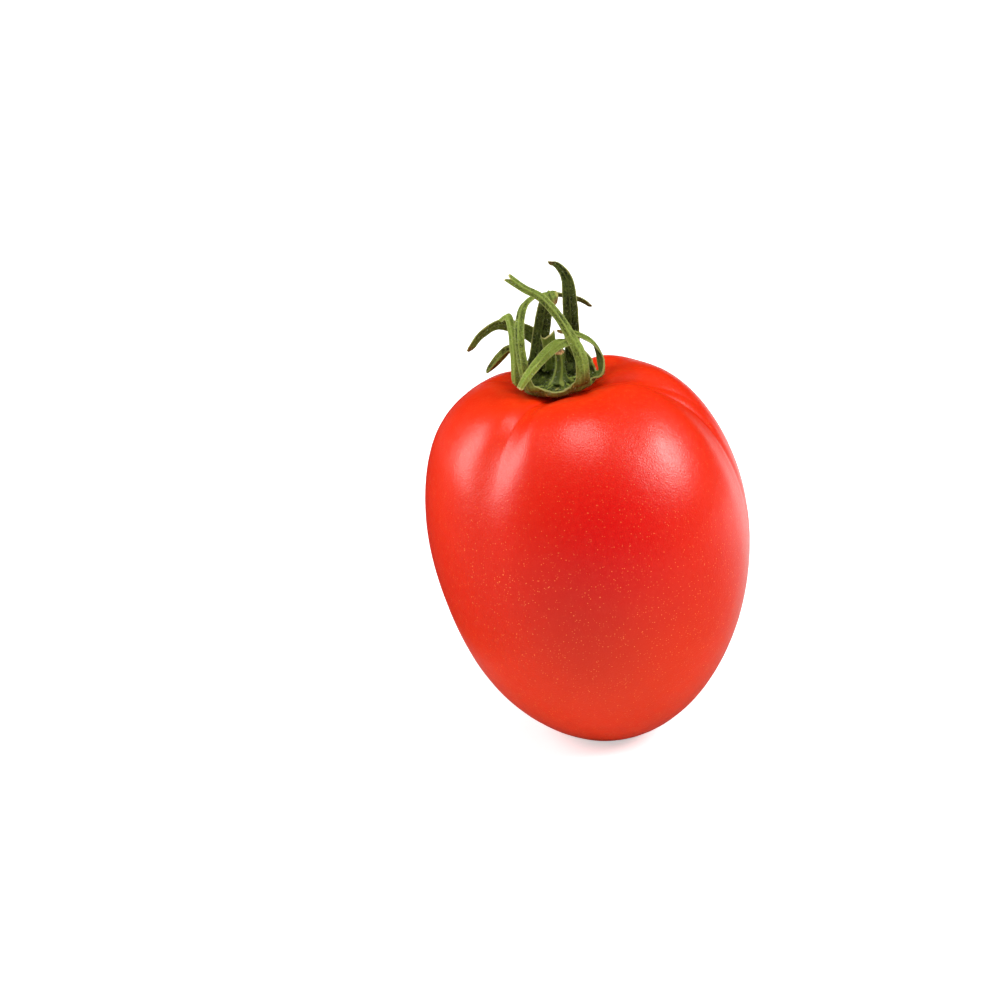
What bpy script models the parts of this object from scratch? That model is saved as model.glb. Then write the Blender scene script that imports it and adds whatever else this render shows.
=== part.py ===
# Plum tomato standing on its blossom end: the fruit, its calyx and the stub of its stalk.
# Metres, +Z up. The origin is the middle of the flat spot that the fruit rests on, and -Y is the front.

import math

import bmesh
import bpy
from mathutils import Matrix, Vector

# Lengths are in millimetres, and MM turns them into metres.
MM = 0.001

# Fruit: a turned ovoid about its own axis, which leans towards -X.
# Polar angles run from the stalk end (0) to the blossom end (180), in degrees.
EQUATOR_RADIUS = 28.9
HALF_HEIGHT = 36.6
SHOULDER_GAIN = 0.10
LEAN = math.radians(9.4)
CENTRE = Vector((-2.75, 0.0, 34.9)) * MM
FRUIT_SEGMENTS = 80
FRUIT_RINGS = 40

# Stalk cavity: a shallow dimple with a flat floor.
CAVITY_DEPTH = 5.7
CAVITY_POLAR = 20.0

# Furrows over the shoulders: azimuth at the cavity, sweep further down, depth in mm, half width.
FURROWS = (
    (-113, -15, 1.6, 10),
    (-100, -3, 0.6, 7),
    (-60, 0, 0.3, 12),
    (-16, 5, 1.4, 11),
    (32, 0, 0.3, 14),
    (75, 0, 1.3, 12),
    (118, 0, 1.2, 12),
    (165, 0, 0.25, 14),
)
FURROW_END = 62.0
SWEEP_POLAR = 30.0

# Broad swells that make the fruit uneven: azimuth, polar angle, height in mm, half widths of both.
SWELLS = (
    (180, 42, 1.9, 45, 20),
    (180, 97, -0.9, 45, 22),
    (0, 40, 0.6, 35, 16),
)

# Furrows and swells both start outside the cavity floor.
RELIEF_START = 14.0

# The stalk and the calyx stand a little beside the fruit's axis, in its own frame.
STALK_SIDE = -0.6 * MM

# Pit in the cavity floor for the foot of the stalk.
PIT_RADIUS = 1.75 * MM
PIT_DEPTH = 1.8 * MM

# Calyx cup: radius and height in mm of the middle of its skin, from its central hole to its rim.
CUP_PROFILE = ((1.8, 0.85), (3.4, 0.85), (4.9, 1.25), (5.9, 1.55), (6.5, 2.15))
CALYX_THICKNESS = 0.7 * MM
BLADE_COLUMNS = 4
BLADE_STEP = 1.3
RIM_STEP = 10.0

# Sepals: azimuth of the base and its half width in degrees, the rise of the blade's edges as a share
# of its width, then x, y, z and width in mm along the middle of the blade, and its twist in degrees.
SEPALS = {
    "front_right": (-55, 16, 0.12, (
        (4.3, -6.0, 3.7, 2.7, -10), (4.5, -5.5, 7.4, 2.2, -25), (3.3, -4.5, 11.1, 1.8, -30),
        (1.6, -3.5, 14.9, 1.6, -30), (-0.7, -2.7, 18.2, 1.5, -30), (-3.5, -2.2, 20.3, 1.4, -25),
        (-6.0, -2.0, 22.7, 1.6, -20))),
    "right_loop": (-20, 14, 0.12, (
        (7.5, -2.5, 2.9, 2.1, 15), (7.8, -1.8, 4.9, 2.1, 35), (7.3, -0.8, 6.8, 2.0, 10),
        (6.0, 0.3, 8.5, 1.9, -25), (3.6, 1.2, 9.8, 1.6, -40), (0.9, 1.8, 10.2, 1.1, -40))),
    "folded_forward": (28, 12, 0.12, (
        (5.0, 3.2, 3.7, 2.6, 25), (3.6, 3.0, 6.1, 2.5, 40), (2.5, 1.6, 8.0, 2.2, 0),
        (0.6, -0.7, 8.6, 2.0, -30), (-1.6, -3.2, 8.0, 1.9, -40), (-3.6, -5.9, 7.1, 1.7, -40),
        (-5.5, -8.0, 5.8, 1.4, -35), (-6.8, -9.1, 4.5, 1.1, -35))),
    "back_right": (58, 12, 0.12, (
        (3.1, 5.9, 5.0, 2.6, 15), (3.5, 4.9, 10.1, 2.7, 25), (4.0, 4.0, 15.6, 2.5, 25),
        (4.0, 3.9, 19.1, 1.9, 25), (2.8, 3.5, 21.6, 1.2, 30), (1.3, 3.0, 22.6, 0.8, 30))),
    "left_arch": (84, 10, 0.12, (
        (-0.2, 7.0, 4.3, 2.6, 0), (-2.2, 7.3, 7.0, 2.8, 0), (-5.3, 5.9, 10.2, 2.6, 0),
        (-8.9, 3.4, 12.6, 2.1, 0), (-12.2, 2.0, 11.8, 1.8, 0), (-14.2, 1.2, 10.1, 1.5, 0),
        (-15.1, 1.0, 9.3, 1.3, 0))),
    "torn": (107, 8, 0.05, (
        (-1.3, 3.9, 2.8, 2.0, 0), (-1.1, 2.9, 5.6, 2.0, 0), (-1.0, 2.4, 10.4, 2.0, 0))),
    "back_left": (133, 12, 0.10, (
        (-3.6, 4.4, 3.9, 3.0, -30), (-2.5, 4.5, 7.8, 3.0, -45), (-1.1, 4.1, 12.4, 2.9, -45),
        (0.2, 2.8, 16.5, 2.5, -30), (0.9, 1.3, 17.4, 2.3, -10), (1.4, -0.1, 15.6, 1.8, 0))),
    "left_fall": (160, 9, 0.12, (
        (-6.3, 3.0, 4.3, 1.8, 0), (-6.3, 4.8, 7.0, 1.8, 0), (-8.2, 6.2, 6.9, 1.8, 15),
        (-10.5, 7.2, 4.9, 1.7, 25), (-12.9, 8.5, 2.4, 1.0, 25))),
    "left_hook": (194, 12, 0.12, (
        (-7.3, -3.0, 3.8, 1.8, 20), (-6.9, -2.8, 8.6, 1.5, 40), (-6.7, -1.6, 13.1, 1.4, 40),
        (-7.1, 0.3, 14.8, 1.4, 30), (-8.6, 1.8, 13.8, 1.1, 20))),
    "front_left": (229, 15, 0.12, (
        (-5.3, -5.3, 3.5, 2.3, 20), (-5.7, -4.7, 7.4, 1.9, 40), (-5.5, -4.1, 12.1, 1.8, 40),
        (-4.9, -1.8, 14.8, 1.7, 40), (-3.8, 2.3, 16.0, 1.6, 40), (-1.8, 5.7, 15.8, 1.5, 30),
        (1.4, 7.3, 15.3, 1.4, 15), (5.4, 8.0, 13.5, 1.2, 0), (7.5, 8.6, 11.5, 0.8, 0))),
}

# Stalk stub: x, z and radius in mm along its middle, from the foot in the pit to the broken tip.
STALK_PROFILE = (
    (0.0, -1.45, 1.25), (0.0, 1.4, 1.4), (0.0, 1.8, 1.8), (0.05, 2.4, 1.4), (0.3, 3.7, 1.0),
    (0.6, 5.4, 0.8), (0.75, 6.7, 0.8), (0.8, 7.3, 0.65),
)


def clear_scene():
    for old in list(bpy.data.objects):
        bpy.data.objects.remove(old, do_unlink=True)


def new_collection(name):
    collection = bpy.data.collections.new(name)
    bpy.context.scene.collection.children.link(collection)
    return collection


def new_material(name, colour, roughness):
    material = bpy.data.materials.new(name)
    material.use_nodes = True
    shader = material.node_tree.nodes["Principled BSDF"]
    shader.inputs["Base Color"].default_value = (*colour, 1.0)
    shader.inputs["Roughness"].default_value = roughness
    shader.inputs["Metallic"].default_value = 0.0
    return material


def mesh_object(name, bm, collection, material=None):
    mesh = bpy.data.meshes.new(name)
    bm.to_mesh(mesh)
    bm.free()
    mesh.shade_smooth()
    made = bpy.data.objects.new(name, mesh)
    collection.objects.link(made)
    if material:
        mesh.materials.append(material)
    return made


def bell(value, width):
    return math.exp(-((value / width) ** 2))


def turn_between(azimuth, other):
    return (azimuth - other + 180.0) % 360.0 - 180.0


def profile(polar):
    # Radius and height of the plain ovoid, in mm.
    angle = math.radians(polar)
    cosine = math.cos(angle)
    radius = EQUATOR_RADIUS * math.sin(angle) * (1.0 + SHOULDER_GAIN * cosine)
    return radius, HALF_HEIGHT * cosine


def profile_normal(polar):
    step = 0.5
    before = profile(max(polar - step, 0.0))
    after = profile(min(polar + step, 180.0))
    outward = Vector((before[1] - after[1], after[0] - before[0]))
    if polar in (0.0, 180.0):
        outward = Vector((0.0, math.cos(math.radians(polar))))
    return outward.normalized()


def relief(polar, azimuth):
    # Distance in mm by which the skin stands outside the plain ovoid.
    height = 0.0
    for start, sweep, depth, width in FURROWS:
        centre = start + sweep * (1.0 - bell(polar, SWEEP_POLAR))
        height -= depth * bell(polar, FURROW_END) * bell(turn_between(azimuth, centre), width)
    for centre, level, swell, width, length in SWELLS:
        height += swell * bell(turn_between(azimuth, centre), width) * bell(polar - level, length)
    cavity = CAVITY_DEPTH * math.exp(-((polar / CAVITY_POLAR) ** 3))
    return height * (1.0 - bell(polar, RELIEF_START)) - cavity


def fruit_point(polar, azimuth):
    radius, height = profile(polar)
    outward = profile_normal(polar)
    rise = relief(polar, azimuth)
    radius += outward.x * rise
    height += outward.y * rise
    angle = math.radians(azimuth)
    return Vector((radius * math.cos(angle), radius * math.sin(angle), height)) * MM


def stalk_foot():
    foot = fruit_point(0.0, 0.0)
    return Matrix.Translation((STALK_SIDE, 0.0, foot.z))


def build_fruit(place, collection, cutters, material):
    bm = bmesh.new()
    bmesh.ops.create_uvsphere(bm, u_segments=FRUIT_SEGMENTS, v_segments=FRUIT_RINGS, radius=1.0)
    for vert in bm.verts:
        polar = math.degrees(math.acos(max(-1.0, min(1.0, vert.co.z))))
        azimuth = math.degrees(math.atan2(vert.co.y, vert.co.x))
        vert.co = fruit_point(polar, azimuth)
    fruit = mesh_object("fruit", bm, collection, material)
    fruit.matrix_world = place

    ground = bmesh.new()
    bmesh.ops.create_cube(ground, size=2.0 * HALF_HEIGHT * MM)
    bmesh.ops.translate(ground, verts=ground.verts, vec=(0.0, 0.0, -HALF_HEIGHT * MM))
    cut_from(fruit, mesh_object("flat_spot_cutter", ground, cutters))

    pit = bmesh.new()
    bmesh.ops.create_cone(
        pit, cap_ends=True, segments=24, radius1=PIT_RADIUS, radius2=PIT_RADIUS, depth=2.0 * PIT_DEPTH)
    pit_cutter = mesh_object("pit_cutter", pit, cutters)
    pit_cutter.matrix_world = place @ stalk_foot()
    cut_from(fruit, pit_cutter)
    return fruit


def cut_from(target, cutter):
    cutter.hide_render = True
    cutter.display_type = "WIRE"
    boolean = target.modifiers.new(cutter.name, "BOOLEAN")
    boolean.operation = "DIFFERENCE"
    boolean.object = cutter


def smooth_path(points, step):
    # Catmull-Rom curve through the points, read about every step mm. Extra columns ride along.
    ends = [2.0 * points[0] - points[1], *points, 2.0 * points[-1] - points[-2]]
    path = []
    for before, start, end, after in zip(ends, ends[1:], ends[2:], ends[3:]):
        count = max(1, round(Vector((end - start)[:3]).length / step))
        for index in range(count):
            t = index / count
            path.append(0.5 * (
                2.0 * start + (end - before) * t
                + (2.0 * before - 5.0 * start + 4.0 * end - after) * t ** 2
                + (3.0 * start - before - 3.0 * end + after) * t ** 3))
    path.append(points[-1])
    return path


def rim_azimuths():
    # One list for the whole rim: each base has its own columns, and the gaps are filled evenly.
    marks = []
    for base, spread, _rise, _points in SEPALS.values():
        marks.append([base + spread * (2.0 * k / BLADE_COLUMNS - 1.0) for k in range(BLADE_COLUMNS + 1)])
    marks.sort(key=lambda columns: columns[0])
    marks.append([azimuth + 360.0 for azimuth in marks[0]])
    azimuths = []
    for columns, following in zip(marks, marks[1:]):
        gap = following[0] - columns[-1]
        count = max(1, round(gap / RIM_STEP))
        azimuths += columns
        azimuths += [columns[-1] + gap * k / count for k in range(1, count)]
    return azimuths


def cup_point(azimuth, radius, height):
    angle = math.radians(azimuth)
    return Vector((radius * math.cos(angle), radius * math.sin(angle), height))


def blade_sections(base, spread, rise, points):
    # Rows of points across the blade, from just above the rim to the tip, in mm.
    angle = math.radians(base)
    rim_radius, rim_height = CUP_PROFILE[-1]
    start = cup_point(base, rim_radius, rim_height)
    rim_width = 2.0 * rim_radius * math.sin(math.radians(spread))
    stations = smooth_path([Vector((*start, rim_width, 0.0)), *(Vector(point) for point in points)], BLADE_STEP)
    middles = [Vector(station[:3]) for station in stations]
    side = Vector((-math.sin(angle), math.cos(angle), 0.0))
    sections = []
    last = len(stations) - 1
    for index in range(1, last + 1):
        width, twist = stations[index][3:]
        along = (middles[min(index + 1, last)] - middles[index - 1]).normalized()
        side = (side - along * side.dot(along)).normalized()
        across = Matrix.Rotation(math.radians(twist), 3, along) @ side
        inward = along.cross(across)
        row = []
        for column in range(BLADE_COLUMNS + 1):
            u = 2.0 * column / BLADE_COLUMNS - 1.0
            row.append(middles[index] + across * (0.5 * width * u) + inward * (rise * width * (u * u - 0.5)))
        sections.append(row)
    return sections


def build_calyx(place, collection, material):
    bm = bmesh.new()
    azimuths = rim_azimuths()
    rings = []
    for radius, height in CUP_PROFILE:
        rings.append([bm.verts.new(cup_point(azimuth, radius, height)) for azimuth in azimuths])
    count = len(azimuths)
    for inner, outer in zip(rings, rings[1:]):
        for index in range(count):
            after = (index + 1) % count
            bm.faces.new((inner[index], outer[index], outer[after], inner[after]))
    rim = rings[-1]
    for base, spread, rise, points in SEPALS.values():
        first = min(range(count), key=lambda k: abs(turn_between(azimuths[k], base - spread)))
        row = [rim[(first + column) % count] for column in range(BLADE_COLUMNS + 1)]
        for section in blade_sections(base, spread, rise, points):
            following = [bm.verts.new(point) for point in section]
            for column in range(BLADE_COLUMNS):
                bm.faces.new((row[column], following[column], following[column + 1], row[column + 1]))
            row = following
    bmesh.ops.scale(bm, verts=bm.verts, vec=(MM, MM, MM))
    bmesh.ops.triangulate(bm, faces=bm.faces)
    calyx = mesh_object("calyx", bm, collection, material)
    calyx.matrix_world = place @ stalk_foot()
    shell = calyx.modifiers.new("skin", "SOLIDIFY")
    shell.thickness = CALYX_THICKNESS
    shell.offset = 0.0
    return calyx


def build_stalk(place, collection, material):
    curve = bpy.data.curves.new("stalk", "CURVE")
    curve.dimensions = "3D"
    curve.bevel_depth = MM
    curve.bevel_resolution = 2
    curve.use_fill_caps = True
    spline = curve.splines.new("POLY")
    spline.points.add(len(STALK_PROFILE) - 1)
    for point, (x, z, radius) in zip(spline.points, STALK_PROFILE):
        point.co = (x * MM, 0.0, z * MM, 1.0)
        point.radius = radius
    curve.materials.append(material)
    stalk = bpy.data.objects.new("stalk", curve)
    collection.objects.link(stalk)
    stalk.matrix_world = place @ stalk_foot()
    return stalk


def main():
    clear_scene()
    parts = new_collection("tomato")
    cutters = new_collection("cutters")
    skin = new_material("skin", (0.62, 0.015, 0.008), 0.28)
    sepal = new_material("sepal", (0.08, 0.16, 0.03), 0.6)
    stem = new_material("stem", (0.20, 0.22, 0.07), 0.65)
    place = Matrix.Translation(CENTRE) @ Matrix.Rotation(-LEAN, 4, "Y")
    build_fruit(place, parts, cutters, skin)
    build_calyx(place, parts, sepal)
    build_stalk(place, parts, stem)


main()
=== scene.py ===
import math

import bmesh
import bpy
from mathutils import Matrix, Vector, noise


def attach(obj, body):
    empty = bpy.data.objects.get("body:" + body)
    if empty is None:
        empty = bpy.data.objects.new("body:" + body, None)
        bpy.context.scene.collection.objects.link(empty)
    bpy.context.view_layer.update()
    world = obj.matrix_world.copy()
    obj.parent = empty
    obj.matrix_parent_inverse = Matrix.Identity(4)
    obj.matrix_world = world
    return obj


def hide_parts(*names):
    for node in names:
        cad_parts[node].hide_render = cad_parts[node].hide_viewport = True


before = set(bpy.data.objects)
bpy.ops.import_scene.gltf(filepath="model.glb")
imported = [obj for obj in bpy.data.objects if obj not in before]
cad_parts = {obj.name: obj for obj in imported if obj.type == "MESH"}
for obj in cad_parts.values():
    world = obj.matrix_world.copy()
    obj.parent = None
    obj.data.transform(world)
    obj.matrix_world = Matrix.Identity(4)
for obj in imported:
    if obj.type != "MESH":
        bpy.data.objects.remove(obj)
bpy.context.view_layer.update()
mm = 0.001


# Shared helpers for node trees

class Wires:
    # Makes and joins the nodes of one tree. A value is a socket, which is linked, or a plain setting.

    def __init__(self, tree):
        self.tree = tree

    def node(self, kind, **settings):
        made = self.tree.nodes.new(kind)
        for name, value in settings.items():
            setattr(made, name, value)
        return made

    def feed(self, socket, value):
        if isinstance(value, bpy.types.NodeSocket):
            self.tree.links.new(value, socket)
        else:
            socket.default_value = value

    def fill(self, node, **values):
        # Names of inputs have _ for a space.
        for name, value in values.items():
            self.feed(node.inputs[name.replace("_", " ")], value)
        return node

    def group(self, tree, kind="ShaderNodeGroup", **values):
        return self.fill(self.node(kind, node_tree=tree), **values).outputs

    def calc(self, operation, *values):
        node = self.node("ShaderNodeMath", operation=operation)
        for socket, value in zip(node.inputs, values):
            self.feed(socket, value)
        return node.outputs[0]

    def add(self, *values):
        return self.calc("ADD", *values)

    def less(self, *values):
        return self.calc("SUBTRACT", *values)

    def times(self, *values):
        return self.calc("MULTIPLY", *values)

    def over(self, *values):
        return self.calc("DIVIDE", *values)

    def timesAdd(self, *values):
        # first * second + third
        return self.calc("MULTIPLY_ADD", *values)

    def bell(self, value, width):
        # exp(-(value / width) squared)
        share = self.over(value, width)
        return self.calc("EXPONENT", self.times(self.times(share, share), -1.0))

    def ramp(self, value, low, high, outLow=0.0, outHigh=1.0):
        node = self.node("ShaderNodeMapRange", interpolation_type="SMOOTHSTEP")
        self.fill(node, Value=value, From_Min=low, From_Max=high, To_Min=outLow, To_Max=outHigh)
        return node.outputs["Result"]

    def turn(self, azimuth, other):
        # degrees from other to azimuth, -180 to 180
        return self.calc("WRAP", self.less(azimuth, other), 180.0, -180.0)

    def split(self, vector):
        return self.fill(self.node("ShaderNodeSeparateXYZ"), Vector=vector).outputs

    def join(self, **values):
        return self.fill(self.node("ShaderNodeCombineXYZ"), **values).outputs[0]

    def grey(self, value):
        return self.fill(self.node("ShaderNodeCombineColor"), Red=value, Green=value, Blue=value).outputs[0]

    def noise(self, vector, scale, detail):
        return self.fill(self.node("ShaderNodeTexNoise"), Vector=vector, Scale=scale, Detail=detail).outputs

    def blend(self, factor, first, second, mode="MIX"):
        # Inputs 0, 6 and 7 are the factor and the two colours; other kinds share their names.
        node = self.node("ShaderNodeMix", data_type="RGBA", blend_type=mode, clamp_factor=True)
        for socket, value in zip((node.inputs[0], node.inputs[6], node.inputs[7]), (factor, first, second)):
            self.feed(socket, (*value, 1.0) if isinstance(value, tuple) else value)
        return node.outputs[2]

    def attribute(self, name):
        return self.node("ShaderNodeAttribute", attribute_name=name).outputs["Fac"]

    def bump(self, shader, *layers):
        # Each layer is (height, distance in metres, strength); they are stacked into one normal.
        normal = None
        for height, distance, strength in layers:
            node = self.node("ShaderNodeBump")
            self.fill(node, Height=height, Distance=distance, Strength=strength)
            if normal:
                self.feed(node.inputs["Normal"], normal)
            normal = node.outputs["Normal"]
        self.feed(shader.inputs["Normal"], normal)

    def coat(self, geometry, material):
        # The end of each geometry tree
        real = self.fill(self.node("GeometryNodeRealizeInstances"), Geometry=geometry)
        painted = self.node("GeometryNodeSetMaterial")
        return self.fill(painted, Geometry=real.outputs[0], Material=material).outputs[0]


def newGroup(name, kind, inputs, outputs):
    # inputs: name -> default number, or the kind of socket; outputs: name -> kind of socket
    tree = bpy.data.node_groups.new(name, kind)
    for label, value in inputs.items():
        socketKind = {float: "Float", int: "Int"}.get(type(value), value)
        socket = tree.interface.new_socket(label, in_out="INPUT", socket_type="NodeSocket" + socketKind)
        if socketKind != value:
            socket.default_value = value
    for label, socketKind in outputs.items():
        tree.interface.new_socket(label, in_out="OUTPUT", socket_type="NodeSocket" + socketKind)
    return Wires(tree), tree.nodes.new("NodeGroupInput").outputs, tree.nodes.new("NodeGroupOutput").inputs


def startMaterial(name, **settings):
    # A Principled material; the settings are constants on its own sockets.
    material = bpy.data.materials.new(name)
    material.use_nodes = True
    w = Wires(material.node_tree)
    shader = w.fill(w.tree.nodes["Principled BSDF"], **settings)
    return material, w, shader, w.node("ShaderNodeTexCoord").outputs["Object"]


def addObject(name, data):
    made = bpy.data.objects.new(name, data)
    bpy.context.scene.collection.objects.link(made)
    return made


def bakeNodes(name, tree, values, source=None):
    # Runs a Geometry Nodes tree on a throwaway object and keeps only the mesh that it makes.
    maker = addObject(name + "_maker", source.data.copy() if source else bpy.data.meshes.new(name))
    modifier = maker.modifiers.new(name, "NODES")
    modifier.node_group = tree
    for item in tree.interface.items_tree:
        if item.in_out == "INPUT" and item.name in values:
            modifier[item.identifier] = values[item.name]
    graph = bpy.context.evaluated_depsgraph_get()
    graph.update()
    made = bpy.data.meshes.new_from_object(maker.evaluated_get(graph), depsgraph=graph)
    made.name = name
    bpy.data.objects.remove(maker)
    return addObject(name, made)


# Camera, floor and light

viewSpec = {
    "cameraAt": (-0.01914, -0.46035, 0.23039),
    "cameraTilt": 68.0,
    "lens": 100.0,
    "sensor": 36.0,
    "clipStart": 0.01,
    "floorSize": 14.0,
    "floorWhite": 0.90,
    "floorGlow": 0.50,
    # share of its white that the mirrored floor keeps in front, and the depths where that fades
    "floorMirrored": 0.05,
    "mirroredFade": (-0.05, 0.15),
    "skyShown": 1.0,
    "skySoft": 0.44,
    "skyMirrored": 0.004,
    # azimuth to the right of the camera, elevation, distance, width, height, power in watts
    "lights": {
        "leftBox": (-92, 26, 0.85, 0.48, 0.58, 6.5),
        "rightBox": (80, 37, 0.85, 0.30, 0.34, 6.0),
        "topBox": (-4, 74, 0.80, 0.36, 0.22, 2.7),
    },
    "lookAt": (-0.003, 0.0, 0.045),
    # black card to the left that only mirrors: near edge, fold, far edge, front, back, height
    "flag": (-0.036, -0.078, -1.60, -0.16, 0.40, 0.052),
    # how far its lying and its standing leaf clear the floor
    "flagLift": (0.0004, 0.0006),
}


def addMesh(name, corners, faces, material):
    mesh = bpy.data.meshes.new(name)
    mesh.from_pydata(corners, [], faces)
    mesh.materials.append(material)
    return addObject(name, mesh)


def buildStage(spec):
    lens = bpy.data.cameras.new("camera")
    lens.lens = spec["lens"]
    lens.sensor_width = spec["sensor"]
    lens.clip_start = spec["clipStart"]
    camera = addObject("camera", lens)
    camera.location = spec["cameraAt"]
    camera.rotation_euler = (math.radians(spec["cameraTilt"]), 0.0, 0.0)
    bpy.context.scene.camera = camera

    # The floor glows for the camera alone, so its shadow stays faint. Mirrored, its front is dimmer.
    paint, w, shader, coords = startMaterial(
        "floorPaint", Roughness=0.85, Specular_IOR_Level=0.2, Emission_Color=(1.0, 1.0, 1.0, 1.0))
    ray = w.node("ShaderNodeLightPath").outputs
    w.fill(shader, Emission_Strength=w.times(ray["Is Camera Ray"], spec["floorGlow"]))
    dimmer = w.ramp(w.split(coords)["Y"], *spec["mirroredFade"], spec["floorMirrored"] - 1.0, 0.0)
    white = w.timesAdd(w.times(ray["Is Glossy Ray"], dimmer), spec["floorWhite"], spec["floorWhite"])
    w.fill(shader, Base_Color=w.grey(white))
    half = 0.5 * spec["floorSize"]
    corners = [(-half, -half, 0), (half, -half, 0), (half, half, 0), (-half, half, 0)]
    floor = addMesh("floor", corners, [(0, 1, 2, 3)], paint)

    near, fold, far, front, back, top = spec["flag"]
    low, high = spec["flagLift"]
    cloth = startMaterial("flagCloth", Base_Color=(0.02, 0.002, 0.002, 1.0), Roughness=0.9)[0]
    flag = addMesh("flag", [
        (near, front, low), (near, back, low), (far, back, low), (far, front, low),
        (fold, front, high), (fold, back, high), (fold, back, top), (fold, front, top)],
        [(0, 1, 2, 3), (4, 5, 6, 7)], cloth)
    flag.visible_camera = False
    flag.visible_diffuse = False
    flag.visible_shadow = False
    flag.visible_transmission = False

    target = Vector(spec["lookAt"])
    for name, (azimuth, elevation, distance, width, height, power) in spec["lights"].items():
        turn = math.radians(azimuth)
        rise = math.radians(elevation)
        away = Vector((math.sin(turn) * math.cos(rise), -math.cos(turn) * math.cos(rise), math.sin(rise)))
        light = bpy.data.lights.new(name, "AREA")
        light.shape = "RECTANGLE"
        light.size = width
        light.size_y = height
        light.energy = power
        lamp = addObject(name, light)
        lamp.location = target + away * distance
        lamp.rotation_euler = away.to_track_quat("Z", "Y").to_euler()

    # The sky is white in the picture and soft on matte surfaces, and glossy ones hardly mirror it.
    world = bpy.data.worlds.new("studio")
    bpy.context.scene.world = world
    world.use_nodes = True
    w = Wires(world.node_tree)
    ray = w.node("ShaderNodeLightPath").outputs
    soft = spec["skySoft"]
    strength = w.timesAdd(ray["Is Camera Ray"], spec["skyShown"] - soft, soft)
    strength = w.timesAdd(ray["Is Glossy Ray"], spec["skyMirrored"] - soft, strength)
    w.fill(w.tree.nodes["Background"], Color=(1.0, 1.0, 1.0, 1.0), Strength=strength)
    bpy.context.scene.view_settings.view_transform = "Standard"
    bpy.context.scene.view_settings.look = "None"


buildStage(viewSpec)
print("stage: camera, floor and lights")


# Effects that several materials share

def buildMottleGroup():
    # Soft cloudy variation and a finer grain, each mostly from -1 to 1.
    w, inside, outside = newGroup(
        "mottle", "ShaderNodeTree",
        {"Vector": "Vector", "Cloud Scale": 60.0, "Grain Scale": 900.0, "Grain Share": 0.3},
        {"Cloud": "Float", "Grain": "Float", "Both": "Float"})
    results = {}
    for label, detail in (("Cloud", 2.0), ("Grain", 3.0)):
        field = w.noise(inside["Vector"], inside[label + " Scale"], detail)
        results[label] = w.timesAdd(field["Fac"], 4.0, -2.0)
        w.feed(outside[label], results[label])
    w.feed(outside["Both"], w.timesAdd(results["Grain"], inside["Grain Share"], results["Cloud"]))
    return w.tree


def buildSpeckGroup():
    # Tiny round dots scattered through the surface, of uneven size and strength.
    w, inside, outside = newGroup(
        "specks", "ShaderNodeTree", {"Vector": "Vector", "Spacing": 0.0016, "Size": 0.00012, "Share": 0.6},
        {"Mask": "Float"})
    cells = w.node("ShaderNodeTexVoronoi", voronoi_dimensions="3D", feature="F1")
    cell = w.fill(cells, Vector=inside["Vector"], Scale=w.over(1.0, inside["Spacing"])).outputs
    luck = w.fill(w.node("ShaderNodeSeparateColor"), Color=cell["Color"]).outputs
    radius = w.times(w.over(inside["Size"], inside["Spacing"]), w.ramp(luck[1], 0.0, 1.0, 0.5, 1.7))
    dot = w.ramp(w.less(1.0, w.over(cell["Distance"], radius)), 0.0, 0.6)
    kept = w.calc("LESS_THAN", luck[0], inside["Share"])
    strength = w.ramp(luck[2], 0.0, 1.0, 0.35, 1.0)
    w.feed(outside["Mask"], w.times(w.times(dot, kept), strength))
    return w.tree


def buildVeinGroup():
    # A net of fine lines: 1 on a line, 0 between them. Stretch lengthens the meshes along Y.
    w, inside, outside = newGroup(
        "veins", "ShaderNodeTree", {"Vector": "Vector", "Mesh Size": 0.8, "Stretch": 2.2, "Line": 0.09},
        {"Mask": "Float"})
    wobble = w.noise(inside["Vector"], 1.1, 1.0)
    shift = w.node("ShaderNodeVectorMath", operation="MULTIPLY_ADD")
    for socket, value in zip(shift.inputs, (wobble["Color"], (0.5, 0.5, 0.0), inside["Vector"])):
        w.feed(socket, value)
    spot = w.split(shift.outputs[0])
    across = w.over(spot["X"], inside["Mesh Size"])
    along = w.over(spot["Y"], w.times(inside["Mesh Size"], inside["Stretch"]))
    cells = w.node("ShaderNodeTexVoronoi", voronoi_dimensions="2D", feature="DISTANCE_TO_EDGE")
    w.fill(cells, Vector=w.join(X=across, Y=along), Scale=1.0)
    w.feed(outside["Mask"], w.ramp(cells.outputs["Distance"], 0.0, inside["Line"], 1.0, 0.0))
    return w.tree


mottleGroup = buildMottleGroup()
speckGroup = buildSpeckGroup()
veinGroup = buildVeinGroup()


# Skin of the fruit

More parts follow.
